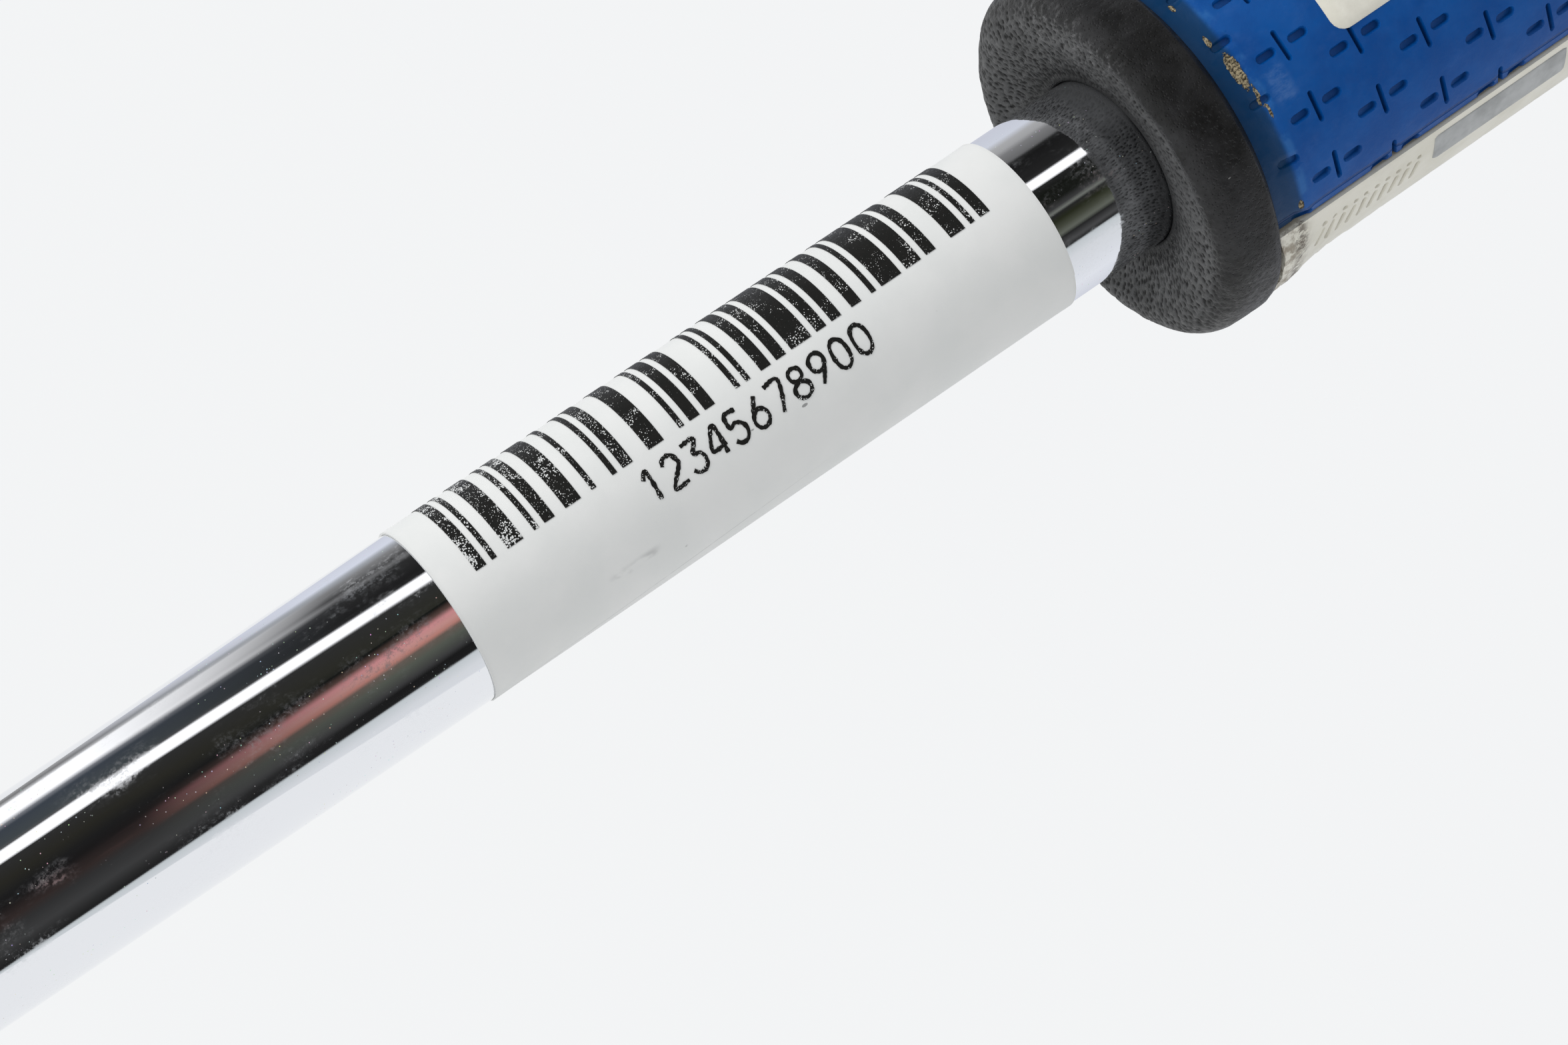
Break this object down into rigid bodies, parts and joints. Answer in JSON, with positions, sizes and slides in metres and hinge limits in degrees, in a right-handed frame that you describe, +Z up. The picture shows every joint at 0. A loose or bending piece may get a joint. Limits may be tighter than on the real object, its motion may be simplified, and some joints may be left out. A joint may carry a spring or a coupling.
{
  "type": "golf putter",
  "caption": "Golf putter with a thick blue and cream moulded grip on a foam core, a chromed steel shaft with a stock label, an offset neck and a weighted mallet head.",
  "frame": {"origin": "centre of the sole's flat, on the ground, with the club at address", "axes": "+Z up, -Y the way the face looks (the target line), +X towards the heel and the player; the shaft leans towards +X at 70 degrees to the ground"},
  "size_m": [0.3882, 0.0852, 0.8402],
  "materials": {
    "chrome": "mirror-bright chrome plate on steel tube",
    "satin_steel": "satin, finely milled stainless steel",
    "satin_aluminium": "satin, bead-blasted and milled aluminium",
    "blue_skin": "blue polyurethane skin with fine grain and traction recesses",
    "cream_skin": "cream polyurethane skin with fine grain",
    "black_foam": "black closed-cell EVA foam with a moulded orange-peel skin",
    "label_paper": "white thermal label paper with black print",
    "tape": "tan masking-type double-sided tape",
    "cap_rubber": "black moulded rubber",
    "anodised": "black anodised aluminium, bead blasted",
    "steel_weight": "turned steel",
    "tungsten": "turned dark tungsten alloy",
    "insert_polymer": "dark matte polymer with milled grooves",
    "white_paint": "white enamel fill"
  },
  "bodies": {
    "club": {"shaft": "chrome", "shaft_label": "label_paper", "grip_tape": "tape", "grip_core": "black_foam", "grip_skin_front": "blue_skin", "grip_skin_back": "cream_skin", "butt_cap": "cap_rubber", "butt_insert": "anodised", "hosel_neck": "satin_steel", "head_body": "satin_aluminium", "face_insert": "insert_polymer", "insert_bed": "cap_rubber", "damping_core": "cap_rubber", "sole_plate": "anodised", "sole_screw_1": "satin_steel", "sole_screw_2": "satin_steel", "sole_screw_3": "satin_steel", "sole_screw_4": "satin_steel", "sight_line": "white_paint"},
    "butt_weight": {"counterweight": "steel_weight", "counterweight_o_ring": "cap_rubber"},
    "heel_weight": {"heel_weight": "tungsten"},
    "toe_weight": {"toe_weight": "tungsten"}
  },
  "joints": [
    {"name": "counterweight_out", "type": "slide", "parent": "club", "child": "butt_weight", "axis": [0.342, 0, 0.9397], "range_m": [0, 0.056]},
    {"name": "heel_weight_out", "type": "slide", "parent": "club", "child": "heel_weight", "axis": [0.7071, 0.7071, 0], "range_m": [0, 0.02]},
    {"name": "toe_weight_out", "type": "slide", "parent": "club", "child": "toe_weight", "axis": [-0.7071, 0.7071, 0], "range_m": [0, 0.02]}
  ]
}
